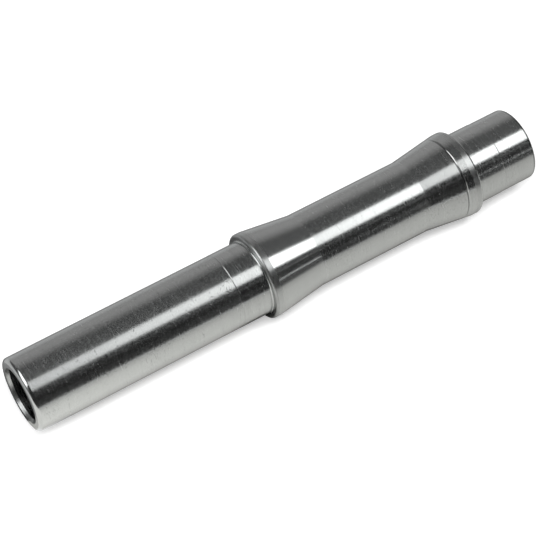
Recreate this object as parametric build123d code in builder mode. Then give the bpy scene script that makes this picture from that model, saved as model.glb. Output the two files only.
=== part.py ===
from build123d import *
import os

# Hollow stepped shaft, turned from one steel bar, all sizes in mm.
# It stands on its short end: the origin is the centre of that end's face, and the axis is +Z.
# Reading upwards, the bar is turned to: tail, lower bearing seat, lower collar, flared neck,
# waist, flared neck, upper collar, upper bearing seat, and the long journal with the wide mouth.

# Lengths along the axis, one turned step after the other, from the bottom.
tail_length = 8.3
lower_seat_length = 7.25
lower_collar_width = 1.75
lower_flare_length = 11.4
waist_length = 27.9
upper_flare_length = 11.55
upper_collar_width = 1.83
upper_seat_length = 7.12
journal_length = 49.6

# Diameters. The journal and the tail are turned a little under the bearing seats, so that a
# bearing slides over them and only grips on its seat.
tail_diameter = 16.88
seat_diameter = 17.0
collar_diameter = 20.0
waist_diameter = 17.0
journal_diameter = 16.96

# The bore runs right through. Its mouth at the top is a steep lead-in cone.
bore_diameter = 12.2
mouth_diameter = 12.9
mouth_angle = 50.0
tail_bore_chamfer = 0.35

# Edges and corners.
journal_edge_radius = 0.9
tail_edge_radius = 0.45
upper_collar_edge_radius = 0.6
lower_collar_edge_radius = 0.5
upper_seat_corner_radius = 0.32
lower_seat_corner_radius = 0.3

# A fine round-bottomed groove in the lower flare, measured from where the collar's land starts.
groove_width = 0.5
groove_depth = 0.12
groove_below_land = 2.05

# Heights of the steps.
tail_top = tail_length
lower_shoulder = tail_top + lower_seat_length
lower_land_top = lower_shoulder + lower_collar_width
waist_bottom = lower_land_top + lower_flare_length
waist_top = waist_bottom + waist_length
upper_land_bottom = waist_top + upper_flare_length
upper_shoulder = upper_land_bottom + upper_collar_width
journal_bottom = upper_shoulder + upper_seat_length
shaft_length = journal_bottom + journal_length

tail_radius = tail_diameter / 2
seat_radius = seat_diameter / 2
collar_radius = collar_diameter / 2
waist_radius = waist_diameter / 2
journal_radius = journal_diameter / 2


def rings(part, radius, height):
    """The circular edges of this radius that lie at this height."""
    circles = part.edges().filter_by(GeomType.CIRCLE)
    level = circles.filter_by_position(Axis.Z, height - 0.001, height + 0.001)
    return level.filter_by(lambda edge: abs(edge.radius - radius) < 0.001)


def flare_radius(height):
    """The radius of the lower flare's cone at a height."""
    share = (height - lower_land_top) / lower_flare_length
    return collar_radius + share * (waist_radius - collar_radius)


with BuildPart() as shaft:
    # Half of the turned outline, spun about the axis.
    with BuildSketch(Plane.XZ) as outline:
        with BuildLine():
            Polyline(
                (0, 0),
                (tail_radius, 0),
                (tail_radius, tail_top),
                (seat_radius, tail_top),
                (seat_radius, lower_shoulder),
                (collar_radius, lower_shoulder),
                (collar_radius, lower_land_top),
                (waist_radius, waist_bottom),
                (waist_radius, waist_top),
                (collar_radius, upper_land_bottom),
                (collar_radius, upper_shoulder),
                (seat_radius, upper_shoulder),
                (seat_radius, journal_bottom),
                (journal_radius, journal_bottom),
                (journal_radius, shaft_length),
                (0, shaft_length),
                close=True,
            )
        make_face()
    revolve(axis=Axis.Z)

    # The corners under the bearings, and the broken edges of the collars and the two ends.
    fillet(rings(shaft, seat_radius, upper_shoulder), upper_seat_corner_radius)
    fillet(rings(shaft, seat_radius, lower_shoulder), lower_seat_corner_radius)
    fillet(rings(shaft, collar_radius, upper_shoulder), upper_collar_edge_radius)
    fillet(rings(shaft, collar_radius, lower_shoulder), lower_collar_edge_radius)
    fillet(rings(shaft, journal_radius, shaft_length), journal_edge_radius)
    fillet(rings(shaft, tail_radius, 0), tail_edge_radius)

    # The bore, from the mouth down, and its small chamfer at the bottom.
    with Locations((0, 0, shaft_length)):
        CounterSinkHole(
            radius=bore_diameter / 2,
            counter_sink_radius=mouth_diameter / 2,
            counter_sink_angle=mouth_angle,
        )
    chamfer(rings(shaft, bore_diameter / 2, 0), tail_bore_chamfer)

    # The groove: an arc cut across the flare, ending on the cone on both sides.
    groove_height = lower_land_top + groove_below_land
    groove_low = groove_height - groove_width / 2
    groove_high = groove_height + groove_width / 2
    with BuildSketch(Plane.XZ) as groove:
        with BuildLine():
            lip_low = (flare_radius(groove_low), groove_low)
            lip_high = (flare_radius(groove_high), groove_high)
            floor = (flare_radius(groove_height) - groove_depth, groove_height)
            ThreePointArc(lip_low, floor, lip_high)
            Polyline(lip_high, (collar_radius, groove_high), (collar_radius, groove_low), lip_low)
        make_face()
    revolve(axis=Axis.Z, mode=Mode.SUBTRACT)

shaft.part.label = "shaft"
os.makedirs("parts", exist_ok=True)
export_step(shaft.part, "parts/shaft.step")
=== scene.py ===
import math

import bpy
from mathutils import Matrix, Vector


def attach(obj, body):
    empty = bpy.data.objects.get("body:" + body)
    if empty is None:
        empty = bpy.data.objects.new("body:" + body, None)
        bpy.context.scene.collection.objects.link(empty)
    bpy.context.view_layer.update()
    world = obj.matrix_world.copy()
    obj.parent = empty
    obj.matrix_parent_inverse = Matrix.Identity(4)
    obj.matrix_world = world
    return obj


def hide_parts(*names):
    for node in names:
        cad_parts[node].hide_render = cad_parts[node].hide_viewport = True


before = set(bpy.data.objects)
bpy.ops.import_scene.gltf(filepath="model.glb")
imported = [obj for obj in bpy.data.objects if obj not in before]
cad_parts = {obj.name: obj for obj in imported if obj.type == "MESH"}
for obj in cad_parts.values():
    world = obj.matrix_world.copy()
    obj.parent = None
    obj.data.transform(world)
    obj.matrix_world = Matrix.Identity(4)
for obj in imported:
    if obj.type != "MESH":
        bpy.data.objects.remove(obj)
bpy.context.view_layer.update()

# ---------------------------------------------------------------- sizes, in mm
MM = 0.001

# The turned outline. Heights run up the axis from the tail's face.
BORE_R, MOUTH_R, TAIL_MOUTH_R = 6.1, 6.45, 6.45
TAIL_R, SEAT_R, COLLAR_R, WAIST_R, JOURNAL_R = 8.44, 8.5, 10.0, 8.5, 8.48
TAIL_TOP = 8.3
LOWER_SHOULDER = TAIL_TOP + 7.25
LOWER_LAND_TOP = LOWER_SHOULDER + 1.75
WAIST_BOTTOM = LOWER_LAND_TOP + 11.4
WAIST_TOP = WAIST_BOTTOM + 27.9
UPPER_LAND_BOTTOM = WAIST_TOP + 11.55
UPPER_SHOULDER = UPPER_LAND_BOTTOM + 1.83
JOURNAL_BOTTOM = UPPER_SHOULDER + 7.12
LENGTH = JOURNAL_BOTTOM + 49.6

# The bore opens in a cone at the journal's end and a chamfer at the tail.
MOUTH_HALF_ANGLE = math.radians(25.0)
MOUTH_CONE_BOTTOM = LENGTH - (MOUTH_R - BORE_R) / math.tan(MOUTH_HALF_ANGLE)
TAIL_CHAMFER = 0.35

# The radii of the rounded edges, and of the fillets where the seats meet the collars.
TAIL_EDGE, JOURNAL_EDGE = 0.45, 0.9
LOWER_COLLAR_EDGE, UPPER_COLLAR_EDGE = 0.5, 0.6
LOWER_CORNER, UPPER_CORNER = 0.3, 0.32
# How far the finish and the painted shade of the tail's edge run up the tail.
TAIL_EDGE_BAND = 0.12

# Two fine witness lines, one where the tail meets its seat and one where the other seat
# meets the journal: half their width at the surface and at their floor, and their depths.
LINE_HALF, LINE_FLOOR_HALF = 0.13, 0.03
LOWER_LINE_DEPTH, UPPER_LINE_DEPTH = 0.018, 0.035

# The fine groove round the lower flare. Its lower wall has a finish of its own, and the rest of
# it is darkened by painted shade.
GROOVE_MIDDLE, GROOVE_WIDTH, GROOVE_DEPTH = LOWER_LAND_TOP + 2.05, 0.5, 0.12
GROOVE_WALL_STEPS = 3

# How finely the mesh follows the outline: the distance between rings of points, and how
# many straight pieces make an arc. One more ring lies END_RING inside each end of a run, or
# this share of its length if that is less.
LONG_STEP, FLARE_STEP, LAND_STEP, SHOULDER_STEP = 0.8, 0.6, 0.4, 0.3
BORE_STEP, CHAMFER_STEP = 4.0, 0.2
END_RING, END_RING_SHARE = 0.02, 0.1
ARC_STEPS, MOUTH_ARC_STEPS = 8, 12
SIDES = 256
# Two ends of spans that are nearer than this are one point.
TOUCHING = 1e-6
# An edge between two spans stays crisp where the outline turns by more, in degrees.
CRISP_TURN = 7.0


# ---------------------------------------------------------------- outline
def arc(cx, cz, r, start, end, steps=ARC_STEPS):
    """Points on a circle of the outline, from one angle to another, in degrees."""
    out = []
    for i in range(steps + 1):
        a = math.radians(start + (end - start) * i / steps)
        out.append((cx + r * math.cos(a), cz + r * math.sin(a)))
    return out


def run(p, q, step):
    """Points along a straight run, both ends included, with one extra close to each end."""
    (r0, z0), (r1, z1) = p, q
    length = math.hypot(r1 - r0, z1 - z0)
    n = max(1, round(length / step))
    near = min(END_RING / length, END_RING_SHARE)
    shares = sorted({0.0, near, 1.0 - near, 1.0} | {i / n for i in range(1, n)})
    return [(r0 + (r1 - r0) * s, z0 + (z1 - z0) * s) for s in shares]


def upright(r, low, high, step):
    """A run of one radius."""
    return run((r, low), (r, high), step)


def level(z, r0, r1, step):
    """A run at one height."""
    return run((r0, z), (r1, z), step)


def flare_radius(z):
    """The lower flare's radius at a height."""
    share = (z - LOWER_LAND_TOP) / (WAIST_BOTTOM - LOWER_LAND_TOP)
    return COLLAR_R + share * (WAIST_R - COLLAR_R)


def groove_points():
    """The groove's arc, through its two lips and its floor."""
    low, high = GROOVE_MIDDLE - GROOVE_WIDTH / 2, GROOVE_MIDDLE + GROOVE_WIDTH / 2
    a, b = Vector((flare_radius(low), low)), Vector((flare_radius(high), high))
    m = Vector((flare_radius(GROOVE_MIDDLE) - GROOVE_DEPTH, GROOVE_MIDDLE))
    ab, am = b - a, m - a
    cross = 2 * (ab.x * am.y - ab.y * am.x)
    ux = (am.y * ab.length_squared - ab.y * am.length_squared) / cross
    uy = (ab.x * am.length_squared - am.x * ab.length_squared) / cross
    c = a + Vector((ux, uy))
    start = math.degrees(math.atan2(a.y - c.y, a.x - c.x)) % 360
    end = math.degrees(math.atan2(b.y - c.y, b.x - c.x)) % 360
    return arc(c.x, c.y, (a - c).length, start, end)


def witness_line(below, above, z, depth):
    """A shallow turned line between two radii: down into it, along it and out again."""
    floor = min(below, above) - depth
    return [(below, z - LINE_HALF), (floor, z - LINE_FLOOR_HALF),
            (floor, z + LINE_FLOOR_HALF), (above, z + LINE_HALF)]


def tail_spans():
    """From the tail's face up to the lower collar's shoulder."""
    seat_top = LOWER_SHOULDER - LOWER_CORNER
    return [
        ("tail_face", level(0, TAIL_MOUTH_R, TAIL_R - TAIL_EDGE, LAND_STEP)),
        ("tail_edge", arc(TAIL_R - TAIL_EDGE, TAIL_EDGE, TAIL_EDGE, -90, 0)),
        ("tail_edge", upright(TAIL_R, TAIL_EDGE, TAIL_EDGE + TAIL_EDGE_BAND, LONG_STEP)),
        ("tail", upright(TAIL_R, TAIL_EDGE + TAIL_EDGE_BAND, TAIL_TOP - LINE_HALF, LONG_STEP)),
        ("line", witness_line(TAIL_R, SEAT_R, TAIL_TOP, LOWER_LINE_DEPTH)),
        ("seat", upright(SEAT_R, TAIL_TOP + LINE_HALF, seat_top, LONG_STEP)),
        ("corner", arc(SEAT_R + LOWER_CORNER, seat_top, LOWER_CORNER, 180, 90)),
    ]


def middle_spans():
    """From the lower collar's shoulder, over both flares, to the upper collar's."""
    groove = groove_points()
    lower_in, upper_in = COLLAR_R - LOWER_COLLAR_EDGE, COLLAR_R - UPPER_COLLAR_EDGE
    lower_land = LOWER_SHOULDER + LOWER_COLLAR_EDGE
    upper_land = UPPER_SHOULDER - UPPER_COLLAR_EDGE
    return [
        ("shoulder", level(LOWER_SHOULDER, SEAT_R + LOWER_CORNER, lower_in, SHOULDER_STEP)),
        ("lower_edge", arc(lower_in, lower_land, LOWER_COLLAR_EDGE, -90, 0)),
        ("land", upright(COLLAR_R, lower_land, LOWER_LAND_TOP, LAND_STEP)),
        ("flare", run((COLLAR_R, LOWER_LAND_TOP), groove[0], FLARE_STEP)),
        ("groove_wall", groove[:GROOVE_WALL_STEPS + 1]),
        ("groove", groove[GROOVE_WALL_STEPS:]),
        ("flare", run(groove[-1], (WAIST_R, WAIST_BOTTOM), FLARE_STEP)),
        ("waist", upright(WAIST_R, WAIST_BOTTOM, WAIST_TOP, LONG_STEP)),
        ("upper_flare", run((WAIST_R, WAIST_TOP), (COLLAR_R, UPPER_LAND_BOTTOM), FLARE_STEP)),
        ("land", upright(COLLAR_R, UPPER_LAND_BOTTOM, upper_land, LAND_STEP)),
        ("collar_edge", arc(upper_in, upper_land, UPPER_COLLAR_EDGE, 0, 90)),
        ("shoulder", level(UPPER_SHOULDER, upper_in, SEAT_R + UPPER_CORNER, SHOULDER_STEP)),
    ]


def journal_spans():
    """From the upper collar's shoulder to the mouth's face."""
    seat_bottom, edge = UPPER_SHOULDER + UPPER_CORNER, LENGTH - JOURNAL_EDGE
    return [
        ("corner", arc(SEAT_R + UPPER_CORNER, seat_bottom, UPPER_CORNER, -90, -180)),
        ("seat", upright(SEAT_R, seat_bottom, JOURNAL_BOTTOM - LINE_HALF, LONG_STEP)),
        ("line", witness_line(SEAT_R, JOURNAL_R, JOURNAL_BOTTOM, UPPER_LINE_DEPTH)),
        ("journal", upright(JOURNAL_R, JOURNAL_BOTTOM + LINE_HALF, edge, LONG_STEP)),
        ("mouth_edge", arc(JOURNAL_R - JOURNAL_EDGE, edge, JOURNAL_EDGE, 0, 90,
                           MOUTH_ARC_STEPS)),
        ("mouth_face", level(LENGTH, JOURNAL_R - JOURNAL_EDGE, MOUTH_R, LAND_STEP)),
    ]


def bore_spans():
    """From the mouth down the bore to where the outline started."""
    return [
        ("mouth_cone", run((MOUTH_R, LENGTH), (BORE_R, MOUTH_CONE_BOTTOM), SHOULDER_STEP)),
        ("bore", upright(BORE_R, MOUTH_CONE_BOTTOM, TAIL_CHAMFER, BORE_STEP)),
        ("tail_face", run((BORE_R, TAIL_CHAMFER), (TAIL_MOUTH_R, 0), CHAMFER_STEP)),
    ]


def closed_outline():
    """The outline's points, the zone from each to the next, and where two spans meet."""
    rings, zones, meets = [], [], [0]
    for zone, points in tail_spans() + middle_spans() + journal_spans() + bore_spans():
        if rings and math.dist(rings[-1], points[0]) > TOUCHING:
            raise ValueError("the outline has a gap before " + zone)
        rings += points[1:] if rings else points
        zones += [zone] * (len(points) - 1)
        meets.append(len(rings) - 1)
    return rings[:-1], zones, meets[:-1]     # the last point is the first again


# ---------------------------------------------------------------- materials
# The colour of bare steel.
STEEL = (0.555, 0.571, 0.566)

# The finish and painted shade of each zone. shade scales the colour: below 1 it is painted
# shade, darker in the groove, the witness lines and the bore, where shade falls, and on the
# end faces and the mouth's cone, the upper collar's and the tail's edges, the shoulders, the
# lands and the upper flare, to the darker tone of what they reflect. rings and specks are how
# far the turning rings and the grain swing it, and swing is how far the rings swing the
# roughness. depth is that of the grain, in micrometres.
FINISHES_AND_SHADES = {
    # zone: painted shade, roughness, anisotropy, rings, specks, swing, depth
    "journal": (1.0, 0.23, 0.45, 0.13, 0.14, 0.13, 5.0),
    "seat": (1.0, 0.215, 0.55, 0.24, 0.16, 0.17, 3.0),
    "land": (0.92, 0.30, 0.45, 0.20, 0.15, 0.10, 0.0),
    "flare": (1.0, 0.215, 0.55, 0.14, 0.13, 0.17, 4.0),
    "upper_flare": (0.98, 0.185, 0.50, 0.10, 0.08, 0.09, 1.5),
    "waist": (1.0, 0.22, 0.5, 0.11, 0.15, 0.17, 2.6),
    "tail": (1.0, 0.215, 0.55, 0.16, 0.16, 0.20, 3.5),
    "groove": (0.45, 0.15, 0.2, 0.1, 0.1, 0.02, 0.0),
    "groove_wall": (1.0, 0.12, 0.2, 0.1, 0.1, 0.02, 0.0),
    "line": (0.9, 0.20, 0.2, 0.1, 0.2, 0.02, 0.0),
    "corner": (1.0, 0.18, 0.2, 0.1, 0.1, 0.02, 0.0),
    "shoulder": (0.70, 0.38, 0.2, 0.3, 0.3, 0.10, 0.0),
    "collar_edge": (0.80, 0.36, 0.3, 0.6, 0.4, 0.15, 0.0),
    "lower_edge": (1.0, 0.20, 0.3, 0.3, 0.3, 0.08, 0.0),
    "mouth_edge": (1.0, 0.19, 0.2, 0.1, 0.1, 0.02, 0.0),
    "mouth_face": (0.66, 0.33, 0.2, 0.2, 0.3, 0.10, 0.0),
    "mouth_cone": (0.76, 0.36, 0.3, 1.2, 0.5, 0.10, 0.0),
    "tail_edge": (0.5, 0.16, 0.2, 0.1, 1.0, 0.05, 0.0),
    "tail_face": (0.82, 0.33, 0.2, 0.2, 0.3, 0.10, 0.0),
    "bore": (0.28, 0.28, 0.3, 1.5, 0.8, 0.10, 0.0),
}

# The noises in the steel: cycles per metre along x, y and z, detail and roughness. Rings run
# round the shaft, so they change fast along z alone. Arcs are short pieces of such rings.
FINE_RINGS = ((40, 40, 2600), 3.0, 0.65)
BROAD_RINGS = ((12, 12, 420), 2.0, 0.5)
ARCS = ((620, 620, 3600), 2.0, 0.6)
GRAIN = ((2900, 2900, 3300), 2.0, 0.6)
CLOUD = ((130, 130, 90), 3.0, 0.55)
PITS = ((1500, 1500, 3400), 1.0, 0.5)
PATCHES = ((190, 190, 120), 2.0, 0.6)

# How much of its zone's swing the broad rings have in the colour and the arcs in the
# roughness, and how far the cloud swings the colour of every zone.
BROAD_SHARE, ARC_ROUGH_SHARE, CLOUD_SWING = 0.5, 1.3, 0.08
# The heights of the arcs and the pits, in the grain's own depth.
ARC_HEIGHT, PIT_HEIGHT = 0.5, -2.0
# Where the noises of the pits and of their patches rise from 0 to 1, and how much painted
# shade darkens the steel in a pit for each micrometre of the grain's depth.
PIT_SPAN, PATCH_SPAN, PIT_DARK = (0.56, 0.68), (0.50, 0.66), 0.045
# The rows of pits where the tool dwelt, in metres: how far apart they are, where they start
# to fade and are gone on each side, and how far the cloud bends them.
DWELL_EVERY, DWELL_FULL, DWELL_GONE, DWELL_BEND = 0.0046, 0.0001, 0.00035, 0.0016

MICROMETRE = 1e-6
# A quarter turn, which lays the stretch of a highlight across the turning rings.
ACROSS_RINGS = 0.25


class Nodes:
    """A short way to write a node tree."""

    def __init__(self, tree):
        self.tree = tree

    def new(self, kind, **settings):
        """A node of this kind, with these settings."""
        node = self.tree.nodes.new(kind)
        for key, value in settings.items():
            setattr(node, key, value)
        return node

    def join(self, output, socket):
        self.tree.links.new(output, socket)

    def place(self):
        """The place of each point on its object, in metres."""
        return self.new("ShaderNodeTexCoord").outputs["Object"]

    def axes(self, vector):
        """A vector's parts, by the names X, Y and Z."""
        node = self.new("ShaderNodeSeparateXYZ")
        self.join(vector, node.inputs[0])
        return node.outputs

    def math(self, operation, *values):
        """A step of arithmetic. Each value is a number or another node's output."""
        node = self.new("ShaderNodeMath", operation=operation)
        for socket, value in zip(node.inputs, values):
            if hasattr(value, "is_output"):
                self.join(value, socket)
            else:
                socket.default_value = value
        return node.outputs[0]

    def sum(self, values):
        total = values[0]
        for value in values[1:]:
            total = self.math("ADD", total, value)
        return total

    def noise(self, vector, scale, detail, rough):
        """Noise stretched by scale, which is cycles per metre along x, y and z."""
        place = self.new("ShaderNodeMapping")
        place.inputs["Scale"].default_value = scale
        self.join(vector, place.inputs["Vector"])
        node = self.new("ShaderNodeTexNoise")
        node.inputs["Scale"].default_value = 1.0
        node.inputs["Detail"].default_value = detail
        node.inputs["Roughness"].default_value = rough
        self.join(place.outputs[0], node.inputs["Vector"])
        return node.outputs["Fac"]

    def about(self, value, swing):
        """A noise turned into a number that swings about 0."""
        return self.math("MULTIPLY", self.math("SUBTRACT", value, 0.5), swing)

    def span(self, value, low, high, to_low=0.0, to_high=1.0):
        """A value from low to high turned into a number from to_low to to_high, and no more."""
        node = self.new("ShaderNodeMapRange")
        self.join(value, node.inputs["Value"])
        for name, number in (("From Min", low), ("From Max", high),
                             ("To Min", to_low), ("To Max", to_high)):
            node.inputs[name].default_value = number
        return node.outputs[0]

    def scaled(self, color, amount):
        """A colour times an amount that varies."""
        node = self.new("ShaderNodeVectorMath", operation="SCALE")
        node.inputs[0].default_value = color
        self.join(amount, node.inputs["Scale"])
        return node.outputs[0]


def pitting(n, where, cloud):
    """How deep each point lies in a pit, from 0 to 1.

    Pits show only in patches, and in the rows where the tool dwelt.
    """
    pits = n.span(n.noise(where, *PITS), *PIT_SPAN)
    patches = n.span(n.noise(where, *PATCHES), *PATCH_SPAN)
    bent = n.math("ADD", n.axes(where)["Z"], n.about(cloud, DWELL_BEND))
    off_row = n.math("PINGPONG", bent, DWELL_EVERY / 2)
    rows = n.span(off_row, DWELL_FULL, DWELL_GONE, 1.0, 0.0)
    return n.math("MULTIPLY", pits, n.math("MAXIMUM", patches, rows))


def steel(name, shade, rough, anisotropy, rings, specks, swing, depth):
    """Bare turned steel, darkened by its zone's painted shade.

    The table of finishes and shades says what the numbers are.
    """
    material = bpy.data.materials.new(name)
    material.use_nodes = True
    shader = material.node_tree.nodes["Principled BSDF"].inputs
    shader["Metallic"].default_value = 1.0
    shader["Anisotropic"].default_value = anisotropy
    shader["Anisotropic Rotation"].default_value = ACROSS_RINGS
    n = Nodes(material.node_tree)
    where = n.place()
    fine, broad = n.noise(where, *FINE_RINGS), n.noise(where, *BROAD_RINGS)
    arcs, grain, cloud = (n.noise(where, *kind) for kind in (ARCS, GRAIN, CLOUD))
    pits = pitting(n, where, cloud)

    vary = n.sum((n.about(fine, rings), n.about(broad, BROAD_SHARE * rings),
                  n.about(arcs, rings), n.about(grain, specks), n.about(cloud, CLOUD_SWING)))
    # Painted shade in the pits: the deeper a pit, the darker the steel.
    pit_shade = n.math("SUBTRACT", 1.0, n.math("MULTIPLY", pits, PIT_DARK * depth))
    # The colour: random tone, times painted shade in the pits and the zone's painted shade.
    tone = n.math("MULTIPLY", n.math("MULTIPLY", n.math("ADD", vary, 1.0), pit_shade), shade)
    n.join(n.scaled(STEEL, tone), shader["Base Color"])

    wobble = n.sum((n.about(fine, swing), n.about(arcs, ARC_ROUGH_SHARE * swing)))
    n.join(n.math("ADD", wobble, rough), shader["Roughness"])

    bump = n.new("ShaderNodeBump")
    bump.inputs["Strength"].default_value = 1.0
    bump.inputs["Distance"].default_value = depth * MICROMETRE
    n.join(n.sum((n.about(grain, 1.0), n.about(arcs, ARC_HEIGHT),
                  n.math("MULTIPLY", pits, PIT_HEIGHT))), bump.inputs["Height"])
    n.join(bump.outputs[0], shader["Normal"])
    tangent = n.new("ShaderNodeTangent", direction_type="RADIAL", axis="Z")
    n.join(tangent.outputs[0], shader["Tangent"])
    return material


# ---------------------------------------------------------------- the shaft
def make_shaft():
    """The whole outline spun about the axis as one closed mesh, each zone in its finish and
    painted shade.
    """
    rings, zones, meets = closed_outline()
    materials = {zone: steel("steel_" + zone, *numbers) for zone, numbers in FINISHES_AND_SHADES.items()}
    names = list(dict.fromkeys(zones))
    verts, faces, index = [], [], []
    for r, z in rings:
        for k in range(SIDES):
            a = 2 * math.pi * k / SIDES
            verts.append((r * MM * math.cos(a), r * MM * math.sin(a), z * MM))
    for i, zone in enumerate(zones):
        j = (i + 1) % len(rings)
        for k in range(SIDES):
            m = (k + 1) % SIDES
            faces.append((i * SIDES + k, i * SIDES + m, j * SIDES + m, j * SIDES + k))
            index.append(names.index(zone))
    mesh = bpy.data.meshes.new("shaft_turned")
    mesh.from_pydata(verts, [], faces)
    for name in names:
        mesh.materials.append(materials[name])
    mesh.polygons.foreach_set("material_index", index)
    mesh.polygons.foreach_set("use_smooth", [True] * len(faces))
    mark_crisp(mesh, rings, meets)
    mesh.validate()
    mesh.update()
    return bpy.data.objects.new("shaft_turned", mesh)


def mark_crisp(mesh, rings, meets):
    """Where one span meets the next at an angle, the edge stays crisp."""
    crisp = set()
    for i in meets:
        (r0, z0), (r1, z1), (r2, z2) = rings[i - 1], rings[i], rings[(i + 1) % len(rings)]
        turn = math.atan2(z2 - z1, r2 - r1) - math.atan2(z1 - z0, r1 - r0)
        turn = abs((turn + math.pi) % (2 * math.pi) - math.pi)
        if math.degrees(turn) > CRISP_TURN:
            crisp.add(i)
    for edge in mesh.edges:
        a, b = edge.vertices
        if a // SIDES == b // SIDES and a // SIDES in crisp:
            edge.use_edge_sharp = True


# ---------------------------------------------------------------- stage, in metres
# Up is -y. The camera is on the -x side, beyond the journal's end. The shaft lies on its
# two collars, a hair above the floor.
FLOOR_Y = 0.01003
FLOOR_HALF, FLOOR_WHITE = 0.5, 0.9

# The floor and the world show the camera and the steel a brighter white than they give as
# light. For the camera alone, the floor glows more in front of the mouth, by height, which is
# painted light that hides the shaft's shadow there, and far out, by distance from the tail's
# face: how much more, from where, and where it is all there.
WORLD_LIGHT, FLOOR_GLOW = 0.35, 0.37
END_GLOW, END_FROM, END_TO = 0.12, 0.112, 0.130
RIM_GLOW, RIM_FROM, RIM_TO = 0.35, 0.18, 0.36

# The cards run along the axis, between FAR and NEAR, each in one of four layers round it. A
# card in a nearer layer hides what is behind it. END_HALF is half the side of the end cards.
FAR, NEAR = -2.0, 1.6
INNER, BOXES, OUTER, BACKING = 0.74, 0.75, 0.76, 0.77
END_HALF = 0.78
# A bent card has a flat piece for about this many degrees.
BEND_STEP = 4

# The widest films on the floor reach this far from the axis. Where two overlap, each has its
# own layer above the floor, so that they don't coincide.
REACH = 0.77
FIRST_LAYER, NEXT_LAYER = 0.00001, 0.000005
# The films in front end just beyond the mouth, and those behind a little further on. From
# there, plain ones take over.
FRONT_END, BACK_END = 0.127, 0.131
WARM, ROSY, WHITE = (1.01, 1, 0.965), (1.02, 1, 1), (1, 1, 1)


def plain(amount, low=FAR, high=NEAR):
    """Stops of one brightness from low to high."""
    return ((low, amount), (high, amount))


# name, first and last angle, layer, and stops, each a height and a brightness
CARDS = (
    ("flag_front", -1, 56, OUTER,
     ((FAR, 0.06), (-0.42, 0.06), (-0.33, 0.023), (NEAR, 0.023))),
    ("horizon", -2.5, 2.2, INNER,
     ((FAR, 0.4), (-0.46, 0.4), (-0.4, 0.15), (-0.34, 0.15), (-0.2, 0.6), (-0.08, 0.95),
      (NEAR, 0.85))),
    ("flag_top_near", 56, 138, BACKING, plain(0.03)),
    ("flag_back_near", 137, 181, BACKING, plain(0.1)),
    ("glint_a", 17.5, 19.0, INNER,
     ((FAR, 2.2), (-0.40, 2.2), (-0.34, 0.5), (-0.24, 0.18), (-0.1, 0.1), (NEAR, 0.03))),
    ("glint_b", 9.0, 10.0, INNER, plain(0.4, FAR, -0.30)),
    ("glint_c", 39.5, 40.7, INNER, ((FAR, 0.5), (-0.3, 0.5), (-0.1, 0.2), (NEAR, 0.02))),
    ("card_top", 81.0, 128, OUTER,
     ((FAR, 0.14), (-0.42, 0.14), (-0.33, 0.10), (-0.15, 0.10), (-0.03, 0.08), (0.10, 0.06))),
    ("strip_far", 53, 83.4, BOXES,
     ((-0.56, 3.0), (-0.36, 2.8), (-0.26, 1.8), (-0.15, 1.45))),
    ("strip_near", 56, 81.6, BOXES,
     ((-0.15, 1.45), (-0.10, 1.2), (-0.03, 1.05), (0.03, 1.05))),
    ("side_box", 77, 126, BOXES, plain(2.3, 0.225, NEAR)),
)

# The card behind the shaft, whose brightness rises in steps: the first and last angle of
# each step and its share of the stops. It ends as dark at every step.
BACK_STEPS = ((128, 134, 0.42), (134, 140, 0.58), (140, 147, 0.76), (147, 154, 0.9),
              (154, 181, 1.0))
BACK_STOPS = ((FAR, 0.40), (-0.4, 0.40), (0.0, 0.37), (0.12, 0.37))
BACK_DARK = (0.3, 0.1)

# The cards that close the two ends: name, height and brightness.
ENDS = (("end_near", NEAR, 0.2), ("end_far", FAR, 0.03))

# A painted pool of light on the floor under the mouth, where the shaft's shadow falls, which
# only the steel's reflections show: name, first and last x, layer and stops.
PAINTED_POOL = ("painted_pool_tip", -0.008, -0.0035, 3,
          ((0.118, 0.42), (0.122, 0.72), (0.1245, 1.0), (0.1295, 1.0)))

# The films are painted shade, which only the steel's reflections show. They dim the floor as
# the steel reflects it, for the floor's own dimmer tone and as painted shadow: most close to
# the shaft and under its collars, shoulder and flare, and all over behind it.
# name, first and last x, layer, stops by height, stops by x and tint; a stop's second number
# is the share of what lies behind that the film lets through
FILMS = (
    ("film_collar", -0.0088, 0.0, 2,
     ((0.0665, 1.0), (0.069, 0.42), (0.0725, 0.42), (0.078, 1.0)), None, WHITE),
    ("film_flare", -0.0075, 0.0, 1,
     ((0.012, 1.0), (0.018, 0.53), (0.03, 0.55), (0.045, 0.80), (0.062, 0.80), (0.0665, 1.0)),
     None, WHITE),
    ("film_shoulder", -0.0066, 0.0, 1,
     ((0.0665, 1.0), (0.069, 0.10), (0.0745, 0.16), (0.081, 1.0)), None, WHITE),
    ("film_back", 0.0, REACH, 0, plain(0.42, FAR, BACK_END),
     ((0.0, 0.05), (0.004, 0.06), (0.007, 0.10), (0.011, 0.185), (0.02, 0.32), (0.045, 1.03),
      (0.1, 0.93), (REACH, 0.93)), WHITE),
    ("film_back_near", 0.0, REACH, 0, plain(0.50, BACK_END, NEAR), None, WHITE),
    ("film_front", -REACH, 0.0, 0,
     ((FAR, 0.53), (0.0, 0.54), (0.06, 0.59), (0.068, 0.60), (0.085, 0.67),
      (FRONT_END, 0.85)),
     ((-REACH, 0.70), (-0.1, 0.77), (-0.035, 0.92), (-0.014, 1.0), (-0.0093, 0.78),
      (-0.007, 0.46), (-0.005, 0.33), (0.0, 0.12)), WARM),
    ("film_near", -REACH, 0.0, 0, plain(0.77, FRONT_END, NEAR), None, WARM),
)


def watching(n):
    """1 for rays from the camera and for reflected and refracted ones, 0 for the rest."""
    path = n.new("ShaderNodeLightPath").outputs
    seen = n.math("MAXIMUM", path["Is Camera Ray"], path["Is Glossy Ray"])
    return n.math("MAXIMUM", seen, path["Is Transmission Ray"])


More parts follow.
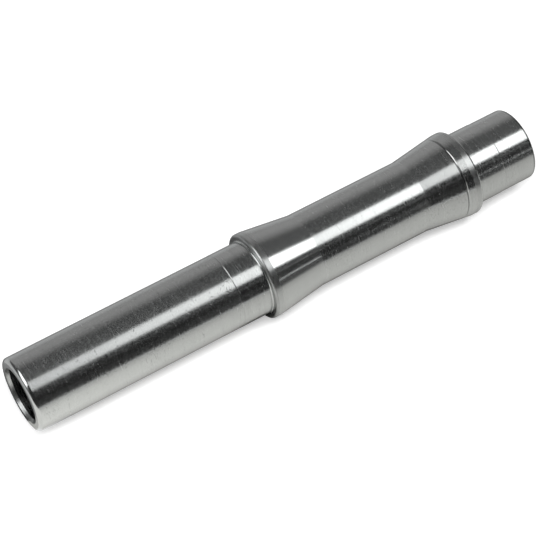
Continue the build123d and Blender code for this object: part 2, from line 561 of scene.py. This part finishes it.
def make_world():
    """White all round, as the camera and the steel see it, and dimmer as light."""
    world = bpy.data.worlds.new("studio")
    bpy.context.scene.world = world
    world.use_nodes = True
    n = Nodes(world.node_tree)
    back = world.node_tree.nodes["Background"].inputs
    back["Color"].default_value = (1, 1, 1, 1)
    seen = n.math("MULTIPLY", watching(n), 1.0 - WORLD_LIGHT)
    n.join(n.math("ADD", seen, WORLD_LIGHT), back["Strength"])


def empty_material(name):
    """A material with nothing but its output, its nodes and the socket of its surface."""
    material = bpy.data.materials.new(name)
    material.use_nodes = True
    material.node_tree.nodes.clear()
    n = Nodes(material.node_tree)
    return material, n, n.new("ShaderNodeOutputMaterial").inputs["Surface"]


def set_on_stage(name, verts, faces, material):
    """A stage object with a mesh of its own, linked into the scene."""
    mesh = bpy.data.meshes.new(name)
    mesh.from_pydata(verts, [], faces)
    mesh.materials.append(material)
    obj = bpy.data.objects.new(name, mesh)
    bpy.context.scene.collection.objects.link(obj)
    return obj


def set_as_card(name, verts, faces, material):
    """An object on the stage that only the steel's reflections show, and that lights nothing."""
    material.cycles.emission_sampling = "NONE"
    obj = set_on_stage(name, verts, faces, material)
    obj.visible_camera = False
    obj.visible_diffuse = False
    obj.visible_shadow = False


def floor_glow(n):
    """What the floor adds to its own white, for each kind of ray."""
    place = n.place()
    reach = n.new("ShaderNodeVectorMath", operation="LENGTH")
    n.join(place, reach.inputs[0])
    # Painted light in front of the mouth, which hides the shaft's shadow there, and more white
    # far out.
    more = n.math("ADD", n.span(n.axes(place)["Z"], END_FROM, END_TO, 0.0, END_GLOW),
                  n.span(reach.outputs["Value"], RIM_FROM, RIM_TO, 0.0, RIM_GLOW))
    camera = n.new("ShaderNodeLightPath").outputs["Is Camera Ray"]
    return n.math("ADD", n.math("MULTIPLY", watching(n), FLOOR_GLOW),
                  n.math("MULTIPLY", camera, more))


def make_floor():
    """A white plane under the shaft. It is see-through from below."""
    material, n, surface = empty_material("floor")
    white = n.new("ShaderNodeBsdfDiffuse")
    white.inputs["Color"].default_value = (FLOOR_WHITE, FLOOR_WHITE, FLOOR_WHITE, 1)
    glow = n.new("ShaderNodeEmission")
    n.join(floor_glow(n), glow.inputs["Strength"])
    both = n.new("ShaderNodeAddShader")
    n.join(white.outputs[0], both.inputs[0])
    n.join(glow.outputs[0], both.inputs[1])
    pick = n.new("ShaderNodeMixShader")
    n.join(n.new("ShaderNodeNewGeometry").outputs["Backfacing"], pick.inputs[0])
    n.join(both.outputs[0], pick.inputs[1])
    n.join(n.new("ShaderNodeBsdfTransparent").outputs[0], pick.inputs[2])
    n.join(pick.outputs[0], surface)
    s, y = FLOOR_HALF, FLOOR_Y
    set_on_stage("floor", [(-s, y, -s), (s, y, -s), (s, y, s), (-s, y, s)], [(0, 1, 2, 3)],
                 material)


def around(angle, distance):
    """A point round the shaft's axis. 0 is the camera's side, as high as the axis; 90 is up."""
    a = math.radians(angle)
    return Vector((-math.cos(a) * distance, -math.sin(a) * distance, 0))


def bend(start, end, distance):
    """The cross-section of a card that is bent round the axis, from one angle to another."""
    steps = max(2, round(abs(end - start) / BEND_STEP))
    return [around(start + (end - start) * i / steps, distance) for i in range(steps + 1)]


def flat(start, end, layer):
    """The cross-section of a card that lies on the floor; x runs away from the camera."""
    y = FLOOR_Y - (FIRST_LAYER + layer * NEXT_LAYER)
    return [Vector((start, y, 0)), Vector((end, y, 0))]


def ramp(n, value, stops):
    """A number that follows the stops, which are (value, number) pairs."""
    low, high = stops[0][0], stops[-1][0]
    top = max(number for _, number in stops)
    node = n.new("ShaderNodeValToRGB")
    node.color_ramp.interpolation = "LINEAR"
    elements = node.color_ramp.elements
    for i, (at, number) in enumerate(stops):
        place = (at - low) / (high - low)
        shade = number / top
        element = elements[i] if i < 2 else elements.new(place)     # a new ramp has two
        element.position = place
        element.color = (shade, shade, shade, 1)
    n.join(n.span(value, low, high), node.inputs[0])
    return n.math("MULTIPLY", node.outputs[0], top)


def make_card(name, section, along, across=None, film=False, tint=WHITE):
    """A card along the axis.

    along gives its brightness by height, and across, if there is one, a factor by x. A film
    is see-through instead: it dims what lies behind it by the same number, which paints shade
    on the floor as the steel reflects it.
    """
    material, n, surface = empty_material(name)
    where = n.axes(n.place())
    amount = ramp(n, where["Z"], along)
    if across:
        amount = n.math("MULTIPLY", amount, ramp(n, where["X"], across))
    face = n.new("ShaderNodeBsdfTransparent" if film else "ShaderNodeEmission")
    n.join(n.scaled(tint, amount), face.inputs["Color"])
    n.join(face.outputs[0], surface)
    verts = [(p.x, p.y, end[0]) for p in section for end in (along[0], along[-1])]
    faces = [(2 * i, 2 * i + 1, 2 * i + 3, 2 * i + 2) for i in range(len(section) - 1)]
    set_as_card(name, verts, faces, material)


def make_cards():
    """The cards round the shaft, and the films that shade the floor in its reflections."""
    for name, start, end, layer, along in CARDS:
        make_card(name, bend(start, end, layer), along)
    for i, (start, end, share) in enumerate(BACK_STEPS):
        stops = [(z, amount * share) for z, amount in BACK_STOPS] + [BACK_DARK]
        make_card("card_back_%d" % i, bend(start, end, OUTER), stops, tint=ROSY)
    name, start, end, layer, along = PAINTED_POOL
    make_card(name, flat(start, end, layer), along)
    for name, start, end, layer, along, across, tint in FILMS:
        make_card(name, flat(start, end, layer), along, across, film=True, tint=tint)
    for name, z, amount in ENDS:
        make_end(name, z, amount)


def make_end(name, z, amount):
    """A card square to the axis that closes one end of the row of cards."""
    material, n, surface = empty_material(name)
    glow = n.new("ShaderNodeEmission")
    glow.inputs["Strength"].default_value = amount
    n.join(glow.outputs[0], surface)
    s = END_HALF
    set_as_card(name, [(-s, -s, z), (s, -s, z), (s, s, z), (-s, s, z)], [(0, 1, 2, 3)],
                material)


def make_light(name, angle, z, distance, width, length, radiance):
    """A soft box facing the axis, which reflections don't show.

    Its power is that of a card of the given radiance.
    """
    data = bpy.data.lights.new(name, "AREA")
    data.shape = "RECTANGLE"
    data.size, data.size_y = width, length
    data.energy = radiance * math.pi * width * length
    obj = bpy.data.objects.new(name, data)
    bpy.context.scene.collection.objects.link(obj)
    at = around(angle, distance) + Vector((0, 0, z))
    facing, up = around(angle, 1.0), Vector((0, 0, 1))
    turn = Matrix((up.cross(facing), up, facing)).transposed()
    obj.matrix_world = Matrix.Translation(at) @ turn.to_4x4()
    obj.visible_glossy = False
    obj.visible_camera = False


# ---------------------------------------------------------------- camera
# Its place, in metres, and its axes, in the part's frame.
CAMERA_AT = (-0.222566, -0.351498, 0.207965)
CAMERA_RIGHT = Vector((-0.539530, 0.0, -0.841967))
CAMERA_UP = Vector((0.673533, -0.600064, -0.431598))
CAMERA_BACK = Vector((-0.505234, -0.799952, 0.323752))
# The lens and the sensor's width, in mm, and how near and far the camera sees, in metres.
LENS, SENSOR = 135.533, 36.0
CLIP_START, CLIP_END = 0.01, 20.0
# Half a pixel of the frame, which is 540 pixels wide, as a share of its width.
HALF_PIXEL = 0.5 / 540


def make_camera():
    """The camera, where the photograph was taken from."""
    data = bpy.data.cameras.new("camera")
    data.lens, data.sensor_width = LENS, SENSOR
    data.sensor_fit = "HORIZONTAL"
    data.shift_x, data.shift_y = -HALF_PIXEL, HALF_PIXEL
    data.clip_start, data.clip_end = CLIP_START, CLIP_END
    obj = bpy.data.objects.new("camera", data)
    bpy.context.scene.collection.objects.link(obj)
    turn = Matrix((CAMERA_RIGHT, CAMERA_UP, CAMERA_BACK)).transposed()
    obj.matrix_world = Matrix.Translation(CAMERA_AT) @ turn.to_4x4()
    bpy.context.scene.camera = obj


# ---------------------------------------------------------------- assembly
shaft = make_shaft()
bpy.context.scene.collection.objects.link(shaft)
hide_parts("shaft")
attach(shaft, "root")

make_world()
make_floor()
make_cards()
make_light("overhead", angle=68.5, z=0.20, distance=BOXES, width=0.20, length=1.0,
           radiance=8.4)
make_camera()

bpy.context.scene.view_settings.view_transform = "Standard"
